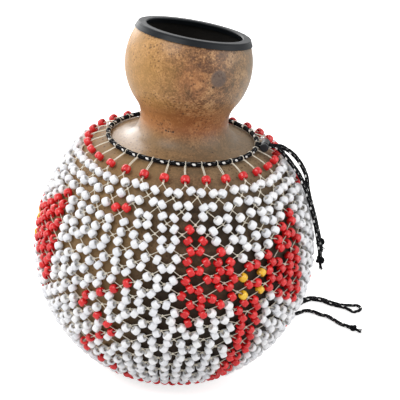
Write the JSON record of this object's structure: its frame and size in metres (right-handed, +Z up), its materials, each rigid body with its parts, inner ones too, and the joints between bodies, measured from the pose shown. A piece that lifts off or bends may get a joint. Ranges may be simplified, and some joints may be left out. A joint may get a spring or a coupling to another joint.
{
  "type": "shekere",
  "caption": "Shekere: a two-bulb dried gourd rattle with a black mouth rim, wrapped in a knotted net of pony beads held by a collar cord with a sprung lock and a base cord.",
  "frame": {"origin": "centre of the flat foot the gourd stands on", "axes": "+Z up the gourd's axis, -Y toward the front of the pattern, +X to the right where the cord lock and its tails hang"},
  "size_m": [0.3406, 0.2826, 0.337],
  "materials": {
    "gourd": "polished",
    "rim_black": "satin",
    "cord_black": "braided",
    "string": "twisted",
    "bead_white": "gloss",
    "bead_red": "gloss",
    "bead_yellow": "gloss",
    "lock_grey": "gloss",
    "lock_black": "satin",
    "spring_steel": "drawn wire"
  },
  "bodies": {
    "gourd": {"gourd_shell": "gourd", "mouth_rim": "rim_black"},
    "net": {"collar_cord": "cord_black", "collar_hitches": "string", "collar_strings": "string", "net_strings_1": "string", "net_strings_2": "string", "net_strings_3": "string", "net_strings_4": "string", "net_strings_5": "string", "base_strings": "string", "base_hitches": "string", "base_cord": "cord_black", "base_knot": "cord_black", "ring_beads": "bead_red", "hem_beads": "bead_red", "bow_beads_1": "bead_red", "bow_beads_2": "bead_red", "bow_beads_3": "bead_red", "yellow_beads": "bead_yellow", "tail_beads": "bead_red", "zigzag_beads": "bead_red", "spot_beads": "bead_red", "white_beads_1": "bead_white", "white_beads_2": "bead_white", "white_beads_3": "bead_white", "white_beads_4": "bead_white", "white_beads_5": "bead_white", "white_beads_6": "bead_white", "white_beads_7": "bead_white", "white_beads_8": "bead_white", "collar_tail_1": "cord_black", "collar_tail_2": "cord_black", "collar_tail_knot_1": "cord_black", "collar_tail_knot_2": "cord_black", "base_loop": "cord_black", "base_tail": "cord_black", "base_tail_knot": "cord_black"},
    "cord_lock_barrel": {"lock_barrel": "lock_grey", "lock_spring": "spring_steel"},
    "cord_lock_button": {"lock_button": "lock_black"}
  },
  "joints": [
    {"name": "net_turn", "type": "hinge", "parent": "gourd", "child": "net", "pos_m": [0, 0, 0], "axis": [0, 0, 1], "continuous": true},
    {"name": "lock_slide", "type": "slide", "parent": "net", "child": "cord_lock_barrel", "axis": [0.9885, -0.1513, 0], "range_m": [0, 0.004]},
    {"name": "lock_button", "type": "slide", "parent": "cord_lock_barrel", "child": "cord_lock_button", "axis": [0.1513, 0.9885, 0], "range_m": [0, 0.0015], "stiffness_N_per_m": 800, "deforming": ["lock_spring"]}
  ]
}
